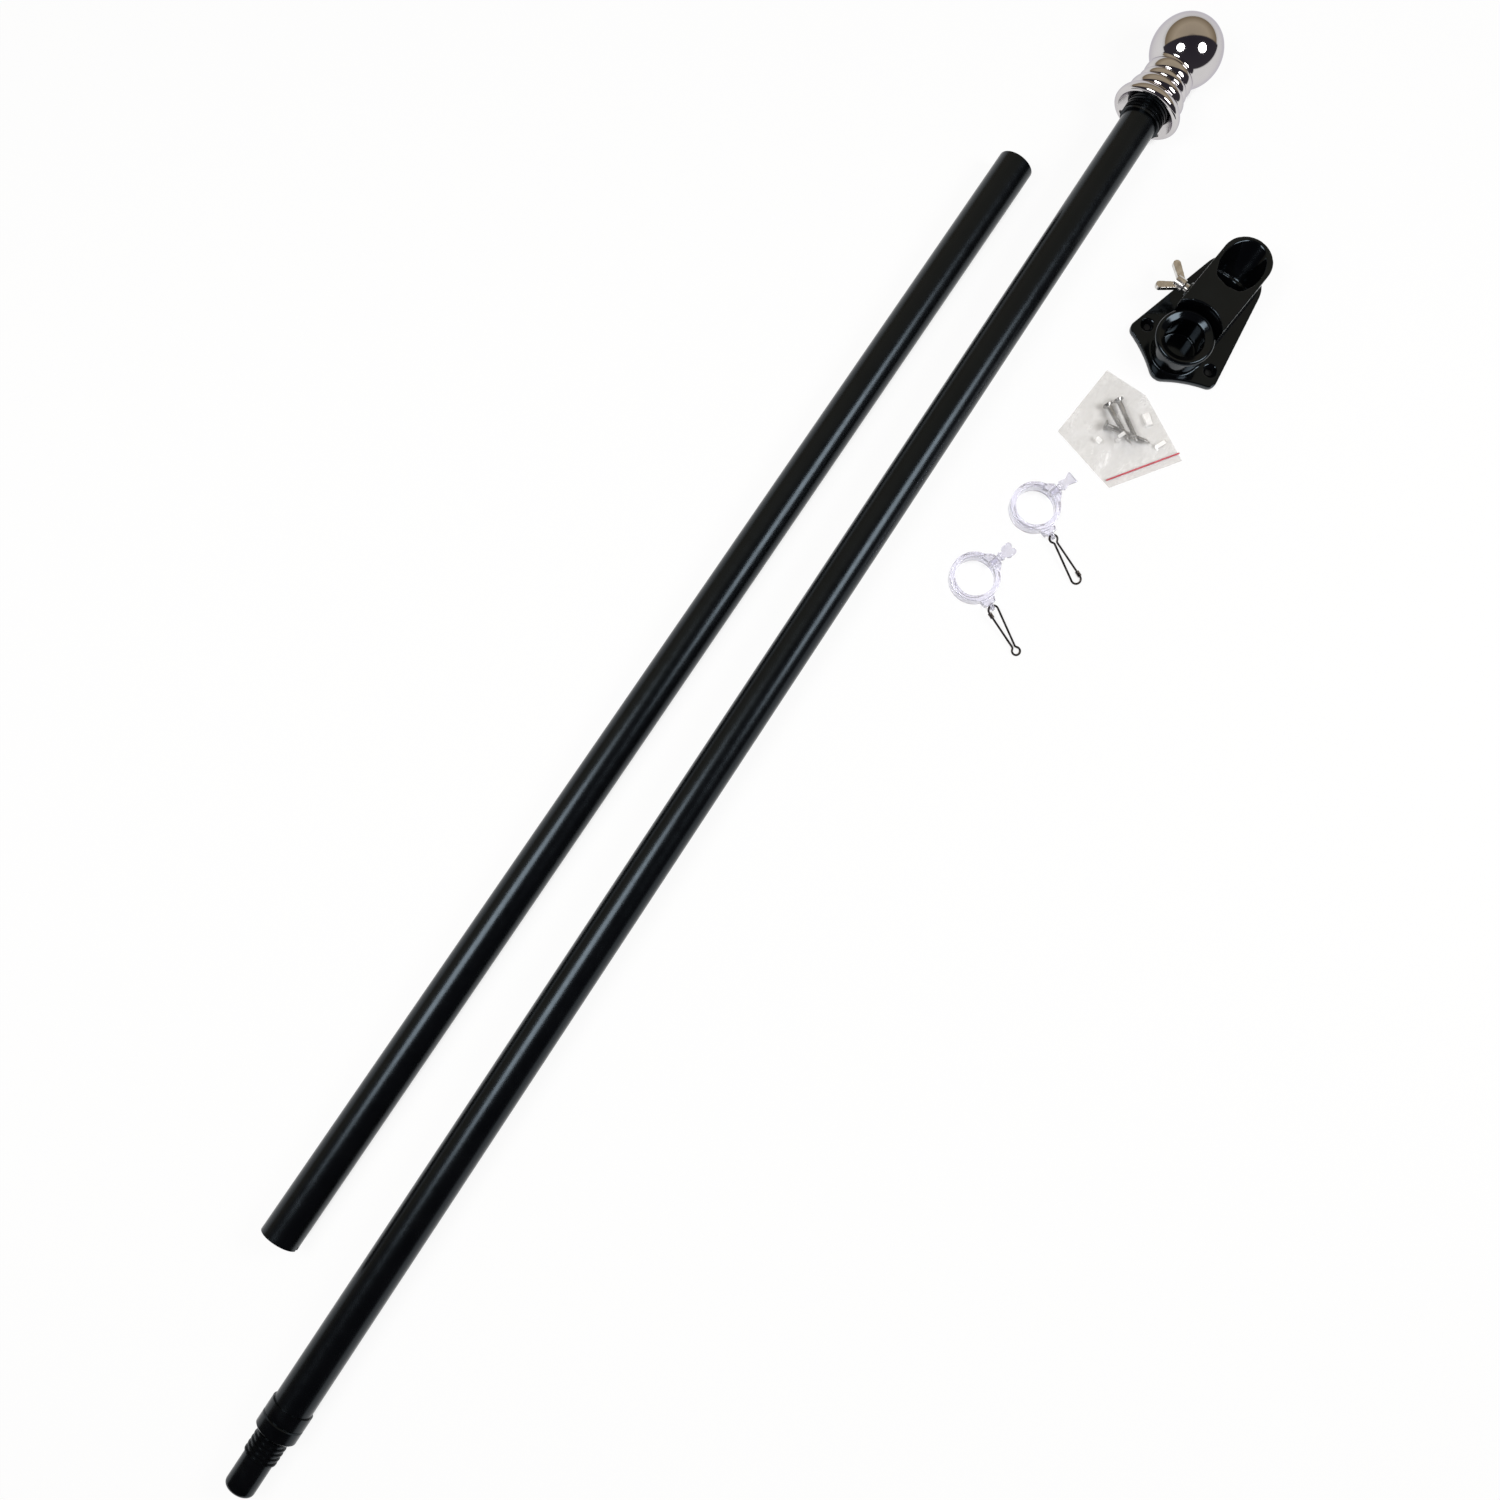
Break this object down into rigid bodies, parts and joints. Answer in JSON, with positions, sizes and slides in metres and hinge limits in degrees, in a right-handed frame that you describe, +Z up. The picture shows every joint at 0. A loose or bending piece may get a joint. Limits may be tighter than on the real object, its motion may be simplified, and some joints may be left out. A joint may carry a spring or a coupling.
{
  "type": "wall flagpole kit",
  "caption": "Two-section black tube flagpole with chrome ball finial, angled wall bracket, clear flag rings with snap hooks, and bagged mounting screws, laid out in a row",
  "frame": {"origin": "middle of the laid-out kit, on the surface it lies on", "axes": "+X along the poles towards the finial, +Z up"},
  "size_m": [1.1308, 0.2178, 0.0496],
  "materials": {
    "pole_paint": "satin",
    "black_plastic": "satin",
    "finial_chrome": "polished",
    "bracket_paint": "gloss",
    "zinc": "satin",
    "clear_plastic": "gloss",
    "nickel_wire": "polished",
    "bag_film": "gloss",
    "red_zip": "gloss"
  },
  "bodies": {
    "root": {"lower_pole_tube": "pole_paint", "upper_pole_tube": "pole_paint", "joint_plug": "black_plastic", "finial": "finial_chrome", "finial_bushing": "black_plastic", "bracket_casting": "bracket_paint", "ring_a": "clear_plastic", "ring_b": "clear_plastic", "bag_back_film": "bag_film", "bag_front_film": "bag_film", "bag_zip_strip": "red_zip", "mounting_screw_1": "zinc", "mounting_screw_2": "zinc", "mounting_screw_3": "zinc"},
    "wing_screw": {"wing_screw": "zinc"},
    "ring_thumbscrew_a": {"ring_thumbscrew_a": "clear_plastic"},
    "ring_thumbscrew_b": {"ring_thumbscrew_b": "clear_plastic"},
    "snap_hook_a": {"snap_hook_a": "nickel_wire"},
    "snap_hook_b": {"snap_hook_b": "nickel_wire"}
  },
  "joints": [
    {"name": "wing_screw_turn", "type": "hinge", "parent": "root", "child": "wing_screw", "pos_m": [0.39143, -0.06815, 0.021], "axis": [0.0958, 0.9954, 0], "continuous": true},
    {"name": "thumbscrew_a_turn", "type": "hinge", "parent": "root", "child": "ring_thumbscrew_a", "pos_m": [0.2135, -0.0433, 0.005], "axis": [0.9537, -0.3007, 0], "continuous": true},
    {"name": "hook_a_swing", "type": "hinge", "parent": "root", "child": "snap_hook_a", "pos_m": [0.20343, -0.06264, 0.005], "axis": [-0.887, 0.4617, 0], "range_deg": [0, 90]},
    {"name": "thumbscrew_b_turn", "type": "hinge", "parent": "root", "child": "ring_thumbscrew_b", "pos_m": [0.1504, -0.0355, 0.005], "axis": [0.9537, -0.3007, 0], "continuous": true},
    {"name": "hook_b_swing", "type": "hinge", "parent": "root", "child": "snap_hook_b", "pos_m": [0.14033, -0.05484, 0.005], "axis": [-0.887, 0.4617, 0], "range_deg": [0, 90]}
  ]
}
